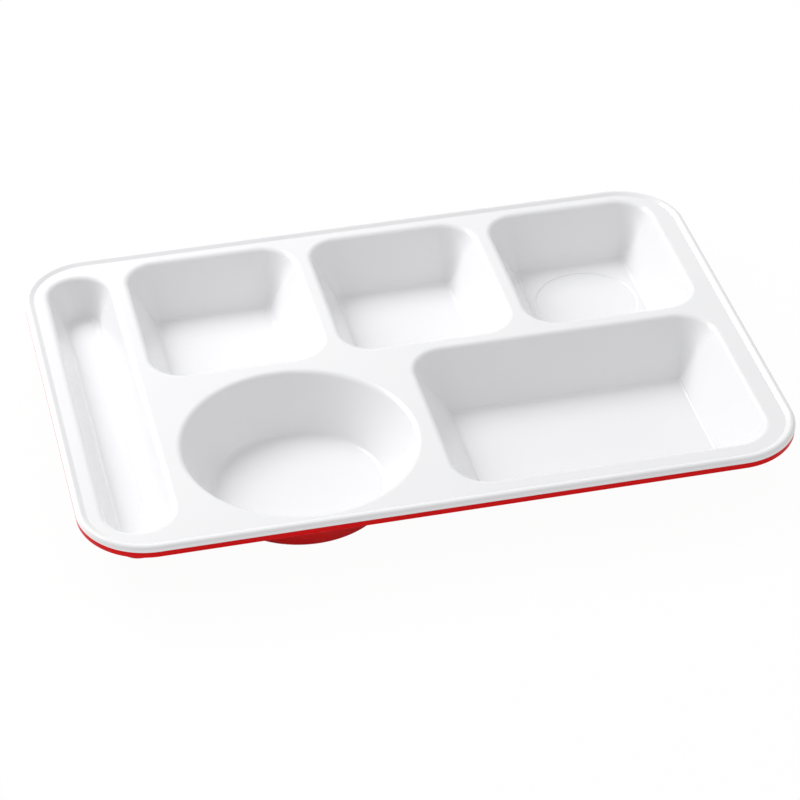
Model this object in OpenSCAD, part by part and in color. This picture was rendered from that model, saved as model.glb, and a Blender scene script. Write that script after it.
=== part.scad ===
// Divided compartment plate in two colours of moulded melamine: a cutlery trough, three small
// wells, one round bowl and one large well. Millimetres. The origin is on the table, under the
// middle of the plate. X runs to the right, Y to the back and Z up.

/* [Plate] */
// Length of the plate, left to right
plate_length = 370; // [362:1:440]
// Width of the plate, front to back
plate_width = 256; // [248:1:290]
// Height from the table to the crest of the lip
plate_height = 33; // [30:0.5:42]
// Radius of the four outer corners
plate_corner = 36; // [28:1:38]

/* [Layers] */
// Thickness of the white top layer
white_skin = 2; // [1.4:0.1:2.6]
// Thickness of the red under layer
red_skin = 1.2; // [0.8:0.1:1.3]

/* [Rim] */
// Width of the raised lip
lip_width = 5.4; // [5:0.1:6.4]
// Flat land between the lip's foot and the bowl
lip_land = 0.9; // [0.2:0.1:1.6]
// Height of the lip's crest above the deck
lip_rise = 1.2; // [0.6:0.1:1.8]
// Height of the whole edge, both colours together
edge_height = 6.8; // [6:0.1:9]
// Radius over the top of the edge
edge_round = 2.2; // [1.4:0.1:2.3]
// How far the red edge stands back from the white one
edge_step = 0.2; // [0.1:0.1:0.6]
// Width of the red bead under the lip
bead_width = 5; // [4:0.1:5.4]

/* [Wells] */
// Flat land between two wells
divider = 3.8; // [3.2:0.1:6]
// Radius where a wall turns over on to the deck
crown = 4; // [3.8:0.1:4.4]
// Radius at the foot of a wall
root = 3; // [2.5:0.5:5]

/* [Cutlery trough] */
// Land between the left edge of the plate and the trough
left_margin = 10.3; // [8.5:0.1:14]
// Land between the trough's round ends and the plate's edge
trough_margin = 13; // [10:0.5:20]
// Width of the trough
trough_width = 40.2; // [37:0.2:48]
// Depth of the trough
trough_depth = 20.8; // [17:0.2:25]
// Draft of the trough's walls, in degrees
trough_draft = 23; // [18:1:25]
// Radius of the trough's ends
trough_corner = 19.5; // [18:0.1:20]

/* [Small wells] */
// How many small wells stand in the back row
small_count = 3; // [2:1:3]
// Land behind the small wells
back_margin = 8.5; // [7.5:0.1:14]
// Draft of the small wells' walls, in degrees
small_draft = 28; // [22:1:30]
// Corner radius of the small wells
small_corner = 20.5; // [19:0.5:24]

/* [Cup seat] */
// Diameter of the cup seat in the right small well
seat_diameter = 56; // [44:1:56]
// Depth of the cup seat
seat_depth = 0.6; // [0.3:0.1:1]
// How far the seat lies behind the well's middle
seat_shift = 1.2; // [0:0.1:1.5]

/* [Bowl] */
// Diameter of the round bowl
bowl_diameter = 125; // [112:1:128]
// Draft of the bowl's wall, in degrees
bowl_draft = 30; // [22:1:34]
// How far the bowl stands to the right of the small wells' left edge
bowl_shift = 2; // [0:0.1:3]
// Land between the bowl and the small wells
bowl_back_land = 5; // [3.5:0.1:8]
// Land between the bowl and the large well
bowl_side_land = 5.7; // [4:0.1:12]

/* [Large well] */
// Land in front of the large well
front_margin = 12; // [9:0.1:16]
// Land to the right of the large well and of the back row
right_margin = 13.9; // [10:0.1:16]
// Draft of the large well's walls, in degrees
large_draft = 35; // [26:1:36]
// Corner radius of the large well
large_corner = 21.5; // [20:0.5:26]

/* [Hidden] */
$fn = 96;
white_colour = "white";
red_colour = "firebrick";
// Heights are counted from the top of the deck, and the model is lifted at the end
deck_top = plate_height - lip_rise;
shell = white_skin + red_skin;
well_depth = deck_top - shell;
edge_foot = lip_rise - edge_height;
// Overrun of a cut past the face that it opens, and of a side past the middle
overrun = 0.5;
// Every section is drawn this far inwards and then cut to its place
reach = plate_length;
// The wells' rounds are drawn a hair large, so that each crosses the faces that it joins
blend = 1.0002;
// Rounds of the white edge's lower corner and of the red edge and bead
white_under_round = 0.7;
red_top_round = 0.3;
red_under_round = 1.4;
bead_round = 0.8;
// The lip falls to the deck in two equal arcs that meet half way
lip_crest_end = edge_round + edge_step;
lip_fall = lip_width - lip_crest_end;
lip_arc = (lip_fall * lip_fall + lip_rise * lip_rise) / (4 * lip_rise);
lip_half = [lip_crest_end + lip_fall / 2, lip_rise / 2];
// The layout, from the outer edges inwards
left_edge = -plate_length / 2;
right_edge = plate_length / 2;
front_edge = -plate_width / 2;
back_edge = plate_width / 2;
trough_left = left_edge + left_margin;
trough_right = trough_left + trough_width;
trough_front = front_edge + trough_margin;
trough_back = back_edge - trough_margin;
wells_left = trough_right + divider;
wells_right = right_edge - right_margin;
small_back = back_edge - back_margin;
bowl_front = front_edge + lip_width + lip_land;
small_front = bowl_front + bowl_diameter + bowl_back_land;
small_width = (wells_right - wells_left - (small_count - 1) * divider) / small_count;
bowl_left = wells_left + bowl_shift;
bowl_middle = [bowl_left + bowl_diameter / 2, bowl_front + bowl_diameter / 2];
large_left = bowl_left + bowl_diameter + bowl_side_land;
large_front = front_edge + front_margin;
large_back = small_front - divider;

function small_left(i) = wells_left + i * (small_width + divider);

// Distance from a well's edge to the start of its flat floor
function foot_inset(depth, slope) =
    (crown + root) * sin(slope)
    + (depth - (crown + root) * (1 - cos(slope))) / tan(slope);

// Half a well in section: x runs inwards from the well's edge, and y runs up from the deck.
// skin is how far the face lies under the finished one, and top is where the cut ends above.
module well_section(depth, draft, skin, top) {
    slope = 90 - draft;
    foot = foot_inset(depth, slope);
    floor_y = -depth - skin;
    crown_r = crown - skin;
    root_r = root + skin;
    crown_end = [crown_r * sin(slope), crown_r * cos(slope) - crown];
    root_start = [foot - root_r * sin(slope), root - depth - root_r * cos(slope)];
    intersection() {
        translate([0, floor_y]) square([reach, top - floor_y]);
        union() {
            difference() {
                polygon([[0, top], [0, -crown], crown_end, root_start, [foot, root - depth],
                    [foot, floor_y], [reach, floor_y], [reach, top]]);
                translate([0, -crown]) circle(crown_r * blend);
            }
            translate([foot, root - depth]) circle(root_r * blend);
        }
    }
}

// A section with the middle of the corner's round put at x = 0, and cut off a way inwards of it.
// Sides and corners are both drawn from it, so that they meet point for point.
module seen_from_corner(corner, inwards) {
    intersection() {
        translate([-inwards, -plate_height]) square([corner + inwards, 2 * plate_height]);
        translate([corner, 0]) mirror([1, 0]) children();
    }
}

// Two straight sides that face each other across a span. Each reaches past the middle.
module facing_sides(run, span, corner) {
    middle = span / 2 - corner;
    for (side = [0, 1])
        mirror([side, 0, 0])
            translate([middle, 0, 0])
            rotate([90, 0, 0])
            linear_extrude(run, center = true)
            seen_from_corner(corner, middle + overrun) children();
}

module sides_along_x(run, span, corner) {
    rotate(90) facing_sides(run, span, corner) children();
}

module sides_along_y(run, span, corner) {
    facing_sides(run, span, corner) children();
}

// The section turned a quarter round each corner of a rounded rectangle
module round_corners(size, corner) {
    turn = [[1, 1], [-1, 1], [-1, -1], [1, -1]];
    for (i = [0:3]) {
        translate([turn[i].x * (size.x / 2 - corner), turn[i].y * (size.y / 2 - corner), 0])
            rotate(90 * i)
            rotate_extrude(angle = 90)
            seen_from_corner(corner, 0) children();
    }
}

// A well as a solid. Its walls meet in a mitre where the feet of two walls cross.
module well(size, corner, depth, draft, skin, top) {
    intersection() {
        sides_along_x(size.x - 2 * corner, size.y, corner) well_section(depth, draft, skin, top);
        sides_along_y(size.y, size.x, corner) well_section(depth, draft, skin, top);
    }
    intersection() {
        sides_along_x(size.x, size.y, corner) well_section(depth, draft, skin, top);
        sides_along_y(size.y - 2 * corner, size.x, corner) well_section(depth, draft, skin, top);
    }
    round_corners(size, corner) well_section(depth, draft, skin, top);
}

// A well placed by its left, right, front and back edges
module placed_well(left, right, front, back, corner, depth, draft, skin, top) {
    translate([(left + right) / 2, (front + back) / 2, 0])
        well([right - left, back - front], corner, depth, draft, skin, top);
}

module bowl(skin, top) {
    translate(bowl_middle) rotate_extrude() seen_from_corner(bowl_diameter / 2, 0)
        well_section(well_depth, bowl_draft, skin, top);
}

// The faces of all the wells, skin under the finished ones
module wells(skin, top) {
    placed_well(trough_left, trough_right, trough_front, trough_back, trough_corner,
        trough_depth, trough_draft, skin, top);
    for (i = [0:small_count - 1]) {
        placed_well(small_left(i), small_left(i) + small_width, small_front, small_back,
            small_corner, well_depth, small_draft, skin, top);
    }
    placed_well(large_left, wells_right, large_front, large_back, large_corner,
        well_depth, large_draft, skin, top);
    bowl(skin, top);
}

// A shallow dish in the right small well's floor, with a wall at half a right angle
module cup_seat() {
    middle = small_left(small_count - 1) + small_width / 2;
    cut = seat_depth + overrun;
    translate([middle, (small_front + small_back) / 2 + seat_shift, -well_depth - seat_depth])
        cylinder(h = cut, d1 = seat_diameter, d2 = seat_diameter + 2 * cut);
}

// What rounding takes off a corner whose two faces run along +x and +y
module corner_waste(r) {
    difference() {
        translate([-overrun, -overrun]) square(r + overrun);
        translate([r, r]) circle(r);
    }
}

// The white deck and lip in section: x runs inwards from the plate's edge
module white_section() {
    difference() {
        union() {
            translate([0, -white_skin]) square([reach, white_skin]);
            square([lip_crest_end, lip_rise]);
            polygon([[lip_crest_end, 0], [lip_crest_end, lip_rise], lip_half, [lip_width, 0]]);
            intersection() {
                translate([lip_crest_end, 0]) square([lip_fall / 2, lip_rise]);
                translate([lip_crest_end, lip_rise - lip_arc]) circle(lip_arc);
            }
        }
        translate([lip_width, lip_arc]) circle(lip_arc);
        translate([0, lip_rise]) mirror([0, 1]) corner_waste(edge_round);
        translate([0, -white_skin]) corner_waste(white_under_round);
    }
}

// The red deck, edge and bead in section
module red_section() {
    difference() {
        union() {
            translate([edge_step, -shell]) square([reach, red_skin]);
            translate([edge_step, edge_foot]) square([bead_width - edge_step, -shell - edge_foot]);
        }
        translate([edge_step, -white_skin]) mirror([0, 1]) corner_waste(red_top_round);
        translate([edge_step, edge_foot]) corner_waste(red_under_round);
        translate([bead_width, edge_foot]) mirror([1, 0]) corner_waste(bead_round);
    }
}

// A flat plate with a section of its own round the edge
module plate() {
    size = [plate_length, plate_width];
    sides_along_x(size.x - 2 * plate_corner, size.y, plate_corner) children();
    sides_along_y(size.y - 2 * plate_corner, size.x, plate_corner) children();
    round_corners(size, plate_corner) children();
}

module white_top_layer() {
    color(white_colour) translate([0, 0, deck_top]) difference() {
        union() {
            plate() white_section();
            wells(white_skin, -white_skin + overrun);
        }
        wells(0, lip_rise + overrun);
        cup_seat();
    }
}

module red_under_layer() {
    color(red_colour) translate([0, 0, deck_top]) difference() {
        union() {
            plate() red_section();
            wells(shell, -shell + overrun);
        }
        wells(white_skin, -white_skin + overrun);
    }
}

white_top_layer();
red_under_layer();
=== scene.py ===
import math

import bpy
from mathutils import Matrix


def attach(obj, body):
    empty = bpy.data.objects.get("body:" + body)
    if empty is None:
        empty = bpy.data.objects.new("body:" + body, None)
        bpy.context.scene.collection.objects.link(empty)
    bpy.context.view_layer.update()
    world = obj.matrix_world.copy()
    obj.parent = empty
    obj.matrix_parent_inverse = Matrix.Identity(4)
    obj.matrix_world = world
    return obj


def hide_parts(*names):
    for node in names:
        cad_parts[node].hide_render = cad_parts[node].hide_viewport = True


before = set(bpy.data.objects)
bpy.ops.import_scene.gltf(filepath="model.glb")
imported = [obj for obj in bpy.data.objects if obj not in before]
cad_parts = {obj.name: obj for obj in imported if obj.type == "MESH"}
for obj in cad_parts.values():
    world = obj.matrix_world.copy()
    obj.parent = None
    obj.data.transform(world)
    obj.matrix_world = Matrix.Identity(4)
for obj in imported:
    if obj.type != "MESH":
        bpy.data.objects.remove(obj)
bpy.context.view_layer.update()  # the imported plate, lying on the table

mm = 0.001

# The whole plate, in millimetres. Heights are counted from the top of the deck.
plate = {
    "length": 370.0,
    "width": 256.0,
    "deckHeight": 31.8,
    "corner": 36.0,
    "cornerCuts": 28,
    "whiteSkin": 2.0,
    "redSkin": 1.2,
    "collar": 0.15,  # narrow flat ring that keeps the deck's shading flat beside a round
    "sameLevel": 0.002,  # points this close in height lie in one level, and this close they merge
    "shadingAngle": 40.0,  # edges sharper than this stay sharp, in degrees
}
shellSkin = plate["whiteSkin"] + plate["redSkin"]
floorDepth = plate["deckHeight"] - shellSkin


# Small helpers for working in edit mode
def deselectAll():
    for thing in bpy.context.selected_objects:
        thing.select_set(False)


def editFaces(thing):
    deselectAll()
    thing.select_set(True)
    bpy.context.view_layer.objects.active = thing
    bpy.ops.object.mode_set(mode="EDIT")
    bpy.ops.mesh.select_mode(type="FACE")
    bpy.ops.mesh.select_all(action="SELECT")


def leaveEdit():
    bpy.ops.object.mode_set(mode="OBJECT")


def pick(thing, domain, test):
    # Selection in code, by place: the mesh's own flags are set in object mode
    leaveEdit()
    for flat in (thing.data.vertices, thing.data.edges, thing.data.polygons):
        flat.foreach_set("select", [False] * len(flat))
    for element in getattr(thing.data, domain):
        element.select = test(element)
    bpy.ops.object.mode_set(mode="EDIT")


def stepIn(inward, up):
    # One ring of the section: the cap shrinks by inward and moves by up
    bpy.ops.mesh.inset(thickness=inward * mm, depth=0, use_boundary=True, use_even_offset=True)
    if up:
        bpy.ops.transform.translate(value=(0, 0, up * mm))


def walk(points):
    for (x0, z0), (x1, z1) in zip(points, points[1:]):
        stepIn(x1 - x0, z1 - z0)


def arc(cx, cz, radius, start, end, cuts):
    # Points of a section's round; angles in degrees, 0 towards the plate's middle and 90 up
    turn = [math.radians(start + (end - start) * i / cuts) for i in range(cuts + 1)]
    return [(cx + radius * math.cos(t), cz + radius * math.sin(t)) for t in turn]


def addOutline(name, left, right, front, back, corner, height, cuts):
    # A flat rounded rectangle: a plane whose corners are bevelled
    deselectAll()
    bpy.ops.mesh.primitive_plane_add(
        size=1,
        location=((left + right) / 2 * mm, (front + back) / 2 * mm, (plate["deckHeight"] + height) * mm),
    )
    piece = bpy.context.object
    piece.name = name
    piece.scale = ((right - left) * mm, (back - front) * mm, 1)
    bpy.ops.object.transform_apply(location=True, rotation=True, scale=True)
    editFaces(piece)
    bpy.ops.mesh.bevel(offset=corner * mm, segments=cuts, profile=0.5, affect="VERTICES")
    bpy.ops.mesh.select_mode(type="FACE")
    bpy.ops.mesh.select_all(action="SELECT")
    return piece


def addRound(name, centre, radius, height, cuts):
    deselectAll()
    bpy.ops.mesh.primitive_circle_add(
        vertices=cuts,
        radius=radius * mm,
        fill_type="NGON",
        location=(centre[0] * mm, centre[1] * mm, (plate["deckHeight"] + height) * mm),
    )
    piece = bpy.context.object
    piece.name = name
    bpy.ops.object.transform_apply(location=True, rotation=True, scale=True)
    editFaces(piece)
    return piece


def joinAll(name, parts):
    if bpy.context.mode != "OBJECT":
        leaveEdit()
    deselectAll()
    for part in parts:
        part.select_set(True)
    bpy.context.view_layer.objects.active = parts[0]
    bpy.ops.object.join()
    parts[0].name = name
    parts[0].data.name = name
    return parts[0]


def fillLevel(thing, height):
    # Fills the land between the open loops that lie at one height
    level = (plate["deckHeight"] + height) * mm
    points = thing.data.vertices
    uses = {}
    for face in thing.data.polygons:
        for key in face.edge_keys:
            uses[key] = uses.get(key, 0) + 1
    editFaces(thing)
    bpy.ops.mesh.select_mode(type="EDGE")
    pick(thing, "edges", lambda edge: uses.get(edge.key) == 1
         and all(abs(points[i].co.z - level) < plate["sameLevel"] * mm for i in edge.vertices))
    bpy.ops.mesh.fill(use_beauty=True)
    leaveEdit()


def dropCap(thing):
    # Deletes the selected cap, so that its loop can be filled with its neighbours
    bpy.ops.mesh.delete(type="ONLY_FACE")
    leaveEdit()
    return thing


# Sections of the wells, in millimetres
wells = {
    "crown": 4.0,  # round from the deck into a wall
    "root": 3.0,  # round at the foot of a wall
    "crownCuts": 9,
    "rootCuts": 9,
    "wallCuts": 5,
    "support": 0.35,  # short step beside a round, so that its shading ends there
    "cornerCuts": 24,
    "close": 0.25,  # the corner radius at which a corner closes to a point
    "closeReach": 3.0,  # the corner's points lie within this distance of it
    "middleReach": 1.5,  # the cap's middle lies within this distance of the well's
}


def footInset(depth, slope):
    both = wells["crown"] + wells["root"]
    return both * math.sin(slope) + (depth - both * (1 - math.cos(slope))) / math.tan(slope)


def wellSection(depth, draft, skin):
    # Half a well from its edge to its floor, skin under the finished face
    slope = math.radians(90 - draft)
    foot = footInset(depth, slope)
    crown, root = wells["crown"] - skin, wells["root"] + skin
    high = arc(0, -wells["crown"], crown, 90, draft, wells["crownCuts"])
    low = arc(foot, wells["root"] - depth, root, 180 + draft, 270, wells["rootCuts"])
    wall = []
    a, b = high[-1], low[0]
    run = math.dist(a, b)
    edge = wells["support"] / run
    for t in [edge] + [(i + 1) / wells["wallCuts"] for i in range(wells["wallCuts"] - 1)] + [1 - edge]:
        wall.append((a[0] + (b[0] - a[0]) * t, a[1] + (b[1] - a[1]) * t))
    return high + wall + low


def closeCorners(thing, corners, middle, level):
    # Where the feet of two walls cross, the corner's round has run out: its points close to one
    for cornerX, cornerY in corners:
        bpy.ops.mesh.select_mode(type="VERT")
        pick(thing, "vertices", lambda v: abs(v.co.z - level) < plate["sameLevel"] * mm
             and math.hypot(v.co.x - cornerX * mm, v.co.y - cornerY * mm) < wells["closeReach"] * mm)
        bpy.ops.mesh.merge(type="CENTER")
        leaveEdit()
        spot = [v for v in thing.data.vertices if v.select][0]
        spot.co.x, spot.co.y = cornerX * mm, cornerY * mm
        bpy.ops.object.mode_set(mode="EDIT")
    bpy.ops.mesh.select_mode(type="FACE")
    reach = wells["middleReach"] * mm
    pick(thing, "polygons", lambda f: abs(f.center.z - level) < plate["sameLevel"] * mm
         and math.hypot(f.center.x - middle[0] * mm, f.center.y - middle[1] * mm) < reach)


def addWell(name, left, right, front, back, corner, depth, draft, skin, seat=None):
    collar = plate["collar"]
    piece = addOutline(name, left - collar, right + collar, front - collar, back + collar,
                       corner + collar, -skin, wells["cornerCuts"])
    points = wellSection(depth, draft, skin)
    stepIn(collar, 0)
    middle = ((left + right) / 2, (front + back) / 2)
    closeAt = corner - wells["close"]
    if points[-1][0] > closeAt:
        # An extra ring where the corner's round has all but run out
        reach, root = points[-1][0] - closeAt, wells["root"] + skin
        extra = (closeAt, wells["root"] - depth - math.sqrt(root * root - reach * reach))
        points = sorted(points + [extra])
    for (x0, z0), (x1, z1) in zip(points, points[1:]):
        if x0 == closeAt:
            corners = [(x, y) for x in (left + x0, right - x0) for y in (front + x0, back - x0)]
            closeCorners(piece, corners, middle, (plate["deckHeight"] + z0) * mm)
        stepIn(x1 - x0, z1 - z0)
    if seat:
        # A shallow dish for a cup in the floor
        dropCap(piece)
        level = -depth - skin
        centre = (middle[0], middle[1] + seat["shift"])
        dish = addRound(name + "Seat", centre, seat["radius"], level, seat["cuts"])
        walk(seat["section"])
        leaveEdit()
        piece = joinAll(name, [piece, dish])
        fillLevel(piece, level)
    elif bpy.context.mode != "OBJECT":
        leaveEdit()
    return piece


def addBowl(name, centre, radius, draft, skin):
    collar = plate["collar"]
    piece = addRound(name, centre, radius + collar, -skin, bowl["cuts"])
    stepIn(collar, 0)
    walk(wellSection(floorDepth, draft, skin))
    stepIn(collar, 0)
    leaveEdit()
    return piece


# Where each well lies: left, right, front, back, corner, depth, draft
trough = (-174.7, -134.5, -115.0, 115.0, 19.5, 20.8, 23.0)
smallLeft, smallWidth, smallPitch = -130.7, 98.067, 101.867
smallStarts = [smallLeft + i * smallPitch for i in range(3)]
smallRow = [(start, start + smallWidth, 8.3, 119.5, 20.5, floorDepth, 28.0) for start in smallStarts]
large = (2.0, 171.1, -116.0, 4.5, 21.5, floorDepth, 35.0)
bowl = {"centre": (-66.2, -59.2), "radius": 62.5, "draft": 30.0, "cuts": 160}
cupSeat = {
    "radius": 28.6,
    "shift": 1.2,
    "cuts": 128,
    "section": [(0, 0), (0.12, -0.02), (0.3, -0.12), (0.55, -0.4), (0.72, -0.54), (0.9, -0.6), (1.3, -0.6)],
}


def addAllWells(name, skin):
    parts = [addWell(name + "Trough", *trough, skin)]
    for i, small in enumerate(smallRow):
        parts.append(addWell(name + "Small%d" % i, *small, skin, cupSeat if i == 2 and skin == 0 else None))
    parts.append(addWell(name + "Large", *large, skin))
    parts.append(addBowl(name + "Bowl", bowl["centre"], bowl["radius"], bowl["draft"], skin))
    return parts


# The rim, whose section runs inwards from the plate's edge
rim = {
    "lipWidth": 5.4,
    "lipRise": 1.2,
    "lipLean": 27.0,  # how steeply the lip falls to the deck, in degrees
    "edgeRound": 2.2,
    "crestFlat": 0.2,
    "whiteUnder": 0.7,
    "step": 0.2,
    "redTop": 0.3,
    "redUnder": 1.4,
    "bead": 5.0,
    "beadRound": 0.8,
    "foot": 0.4,  # round between the bead and the deck's underside
    "edgeHeight": 6.8,
    "sideDraft": 0.02,  # an upright side leans in by this much
}
rimCuts = {"edge": 12, "slope": 7, "whiteUnder": 6, "redTop": 5, "redUnder": 8, "bead": 6, "foot": 4}
collarEnd = rim["lipWidth"] + plate["collar"]


def addRimSheet(name, points):
    x0, z0 = points[0]
    halfLength, halfWidth = plate["length"] / 2 - x0, plate["width"] / 2 - x0
    piece = addOutline(name, -halfLength, halfLength, -halfWidth, halfWidth, plate["corner"] - x0, z0,
                       plate["cornerCuts"])
    walk(points)
    return dropCap(piece)


def lipSection():
    rise, edge, lean = rim["lipRise"], rim["edgeRound"], rim["lipLean"]
    crest = edge + rim["crestFlat"]
    run, slope = rim["lipWidth"] - crest, math.radians(lean)
    # Two rounds with a straight fall between them
    radius = (run * math.sin(slope) - rise * math.cos(slope)) / 2 / (1 - math.cos(slope))
    return (
        [(0, rim["whiteUnder"] - plate["whiteSkin"])]
        + arc(edge, rise - edge, edge - rim["sideDraft"], 180, 90, rimCuts["edge"])
        + arc(crest, rise - radius, radius, 90, 90 - lean, rimCuts["slope"])
        + arc(rim["lipWidth"], radius, radius, 270 - lean, 270, rimCuts["slope"])
        + [(collarEnd, 0)]
    )


def whiteUnderSection():
    r, low = rim["whiteUnder"], -plate["whiteSkin"]
    return arc(r, low + r, r, 180, 270, rimCuts["whiteUnder"]) + [(collarEnd, low)]


def redTopSection():
    r, top = rim["redTop"], -plate["whiteSkin"]
    return arc(rim["step"] + r, top - r, r, 180, 90, rimCuts["redTop"]) + [(collarEnd, top)]


def redUnderSection():
    low = rim["lipRise"] - rim["edgeHeight"]
    r, b, f = rim["redUnder"], rim["beadRound"], rim["foot"]
    start = (rim["step"], -plate["whiteSkin"] - rim["redTop"])
    return (
        [start]
        + arc(rim["step"] + r, low + r, r - rim["sideDraft"], 180, 270, rimCuts["redUnder"])
        + arc(rim["bead"] - b, low + b + rim["sideDraft"], b, 270, 360, rimCuts["bead"])
        + arc(rim["bead"] + f, -shellSkin - f, f - rim["sideDraft"], 180, 90, rimCuts["foot"])
        + [(collarEnd, -shellSkin)]
    )


# The two layers
def closeLayer(name, above, below):
    layer = joinAll(name, [above, below])
    editFaces(layer)
    bpy.ops.mesh.remove_doubles(threshold=plate["sameLevel"] * mm)
    bpy.ops.mesh.normals_make_consistent(inside=False)
    leaveEdit()
    bpy.ops.object.shade_smooth_by_angle(angle=math.radians(plate["shadingAngle"]))
    return layer


def addSheet(name, section, skin):
    parts = [addRimSheet(name + "Rim", section)] + addAllWells(name, skin)
    sheet = joinAll(name, parts)
    fillLevel(sheet, -skin)
    return sheet


whiteLayer = closeLayer(
    "whiteMelamineTop",
    addSheet("whiteFace", lipSection(), 0),
    addSheet("whiteBack", whiteUnderSection(), plate["whiteSkin"]),
)
print("white layer:", len(whiteLayer.data.polygons), "faces")

redLayer = closeLayer(
    "redMelamineUnder",
    addSheet("redFace", redTopSection(), plate["whiteSkin"]),
    addSheet("redBack", redUnderSection(), shellSkin),
)
print("red layer:", len(redLayer.data.polygons), "faces")


# Materials
def linear(text):
    # sRGB hex to the linear colour that the shaders take
    parts = [int(text[i:i + 2], 16) / 255 for i in (0, 2, 4)]
    return [c / 12.92 if c <= 0.04045 else ((c + 0.055) / 1.055) ** 2.4 for c in parts] + [1.0]


def addNode(tree, kind, settings=None, links=None):
    node = tree.nodes.new(kind)
    for key, value in (settings or {}).items():
        if isinstance(key, str) and hasattr(node, key):
            setattr(node, key, value)
        else:
            node.inputs[key].default_value = value
    for key, source in (links or {}).items():
        tree.links.new(source, node.inputs[key])
    return node


def newMaterial(name):
    material = bpy.data.materials.new(name)
    material.use_nodes = True
    material.node_tree.nodes.clear()
    return material, material.node_tree


def moulded(name, look):
    # Compression-moulded melamine: a hard gloss skin off a polished mould, with a trace of cloud
    # where the powder flowed and a skin that isn't quite optically flat
    material, tree = newMaterial(name)
    place = addNode(tree, "ShaderNodeTexCoord").outputs["Object"]
    cloud = addNode(tree, "ShaderNodeTexNoise",
                    {"Scale": 1 / (look["cloudMm"] * mm), "Detail": 3.0, "Roughness": 0.5}, {"Vector": place})
    # The Mix node's sockets share their names, so its colours go by number: 6 and 7 in, 2 out
    tint = addNode(tree, "ShaderNodeMix",
                   {"data_type": "RGBA", 6: linear(look["colour"]), 7: linear(look["cloud"])},
                   {0: cloud.outputs["Fac"]})
    grain = addNode(tree, "ShaderNodeTexNoise",
                    {"Scale": 1 / (look["grainMm"] * mm), "Detail": 2.0, "Roughness": 0.6}, {"Vector": place})
    gloss = addNode(tree, "ShaderNodeMapRange", {"To Min": look["rough"][0], "To Max": look["rough"][1]},
                    {"Value": grain.outputs["Fac"]})
    peel = addNode(tree, "ShaderNodeTexNoise",
                   {"Scale": 1 / (look["peelMm"] * mm), "Detail": 1.0, "Roughness": 0.4}, {"Vector": place})
    bump = addNode(tree, "ShaderNodeBump",
                   {"Strength": look["peelStrength"], "Distance": look["peelDepthMm"] * mm},
                   {"Height": peel.outputs["Fac"]})
    shader = addNode(tree, "ShaderNodeBsdfPrincipled",
                     {"IOR": look["ior"], "Coat Weight": look["coat"], "Coat Roughness": 0.06},
                     {"Base Color": tint.outputs[2], "Roughness": gloss.outputs["Result"],
                      "Normal": bump.outputs["Normal"]})
    addNode(tree, "ShaderNodeOutputMaterial", None, {"Surface": shader.outputs["BSDF"]})
    return material


whiteMelamine = moulded("whiteMouldedMelamine", {
    "colour": "F7F7F8", "cloud": "F3F3F5", "cloudMm": 45.0, "grainMm": 1.2, "rough": (0.2, 0.3),
    "peelMm": 9.0, "peelStrength": 0.25, "peelDepthMm": 0.03, "ior": 1.5, "coat": 0.3,
})
redMelamine = moulded("redMouldedMelamine", {
    "colour": "E2060A", "cloud": "D80408", "cloudMm": 30.0, "grainMm": 1.2, "rough": (0.24, 0.36),
    "peelMm": 7.0, "peelStrength": 0.3, "peelDepthMm": 0.03, "ior": 1.2, "coat": 0.0,
})
for layer, material, node, slotName in (
    (whiteLayer, whiteMelamine, "white_top_layer", "white_melamine"),
    (redLayer, redMelamine, "red_under_layer", "red_melamine"),
):
    layer.data.materials.clear()
    layer.data.materials.append(material)
    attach(layer, "root")
    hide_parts(node)
print("materials set")


# The studio
studio = {
    "floorSize": 8.0,
    "floorDrop": 0.00002,  # keeps the floor clear of the undersides that rest on it
    "shadow": 0.03,  # how much of the true floor shading the camera sees
    "ambient": 0.6,
    "keyPower": 1.8,
    "keySize": 0.38,
    "keyPlace": (-0.565, 0.474, 0.516),
    "backPower": 37.0,
    "backSize": 1.1,
    "backPlace": (-0.98, 1.84, 1.87),
}

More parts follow.
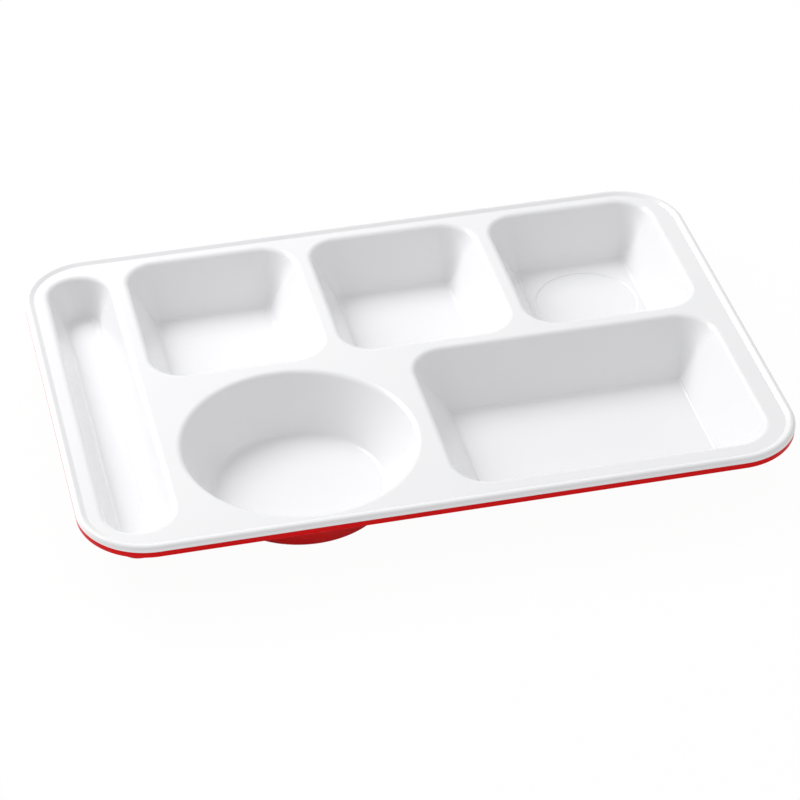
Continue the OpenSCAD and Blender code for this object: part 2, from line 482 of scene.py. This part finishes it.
deselectAll()
bpy.ops.mesh.primitive_plane_add(size=studio["floorSize"], location=(0, 0, -studio["floorDrop"]))
floor = bpy.context.object
floor.name = "floor"
floorMaterial, tree = newMaterial("studioFloor")
rays = addNode(tree, "ShaderNodeLightPath")
paper = addNode(tree, "ShaderNodeBsdfDiffuse", {"Color": linear("FCFCFC")})
white = addNode(tree, "ShaderNodeEmission", {"Strength": 1.0})
seen = addNode(tree, "ShaderNodeMath", {"operation": "MULTIPLY", 1: 1 - studio["shadow"]},
               {0: rays.outputs["Is Camera Ray"]})
mixed = addNode(tree, "ShaderNodeMixShader", None,
                {0: seen.outputs["Value"], 1: paper.outputs["BSDF"], 2: white.outputs["Emission"]})
addNode(tree, "ShaderNodeOutputMaterial", None, {"Surface": mixed.outputs["Shader"]})
floor.data.materials.append(floorMaterial)

world = bpy.data.worlds.new("studioWorld")
bpy.context.scene.world = world
world.use_nodes = True
tree = world.node_tree
tree.nodes.clear()
rays = addNode(tree, "ShaderNodeLightPath")
bright = addNode(tree, "ShaderNodeMath",
                 {"operation": "MULTIPLY_ADD", 1: 1 - studio["ambient"], 2: studio["ambient"]},
                 {0: rays.outputs["Is Camera Ray"]})
sky = addNode(tree, "ShaderNodeBackground", {"Color": linear("FFFFFF")},
              {"Strength": bright.outputs["Value"]})
addNode(tree, "ShaderNodeOutputWorld", None, {"Surface": sky.outputs["Background"]})


def addSoftbox(name, place, size, power):
    data = bpy.data.lights.new(name, "AREA")
    data.energy, data.size = power, size
    lamp = bpy.data.objects.new(name, data)
    bpy.context.scene.collection.objects.link(lamp)
    lamp.location = place
    lamp.rotation_euler = (-lamp.location).to_track_quat("-Z", "Y").to_euler()
    return lamp


addSoftbox("keySoftbox", studio["keyPlace"], studio["keySize"], studio["keyPower"])
addSoftbox("backSoftbox", studio["backPlace"], studio["backSize"], studio["backPower"])

# The camera stands where the photograph's lines put it
stand = {
    "place": (-0.29721, -1.26647, 0.96873),
    "right": (0.97301, -0.23073, -0.00281),
    "up": (0.1397, 0.57936, 0.80301),
    "back": (-0.18365, -0.78174, 0.59595),
    "lens": 137.38,
    "sensor": 36.0,
    "reach": 50.0,
}
cameraData = bpy.data.cameras.new("camera")
cameraData.sensor_width = stand["sensor"]
cameraData.lens = stand["lens"]
cameraData.clip_end = stand["reach"]
camera = bpy.data.objects.new("camera", cameraData)
bpy.context.scene.collection.objects.link(camera)
turn = Matrix([[stand[side][i] for side in ("right", "up", "back")] for i in range(3)])
camera.matrix_world = Matrix.Translation(stand["place"]) @ turn.to_4x4()
bpy.context.scene.camera = camera
bpy.context.scene.view_settings.view_transform = "Standard"
print("studio set")
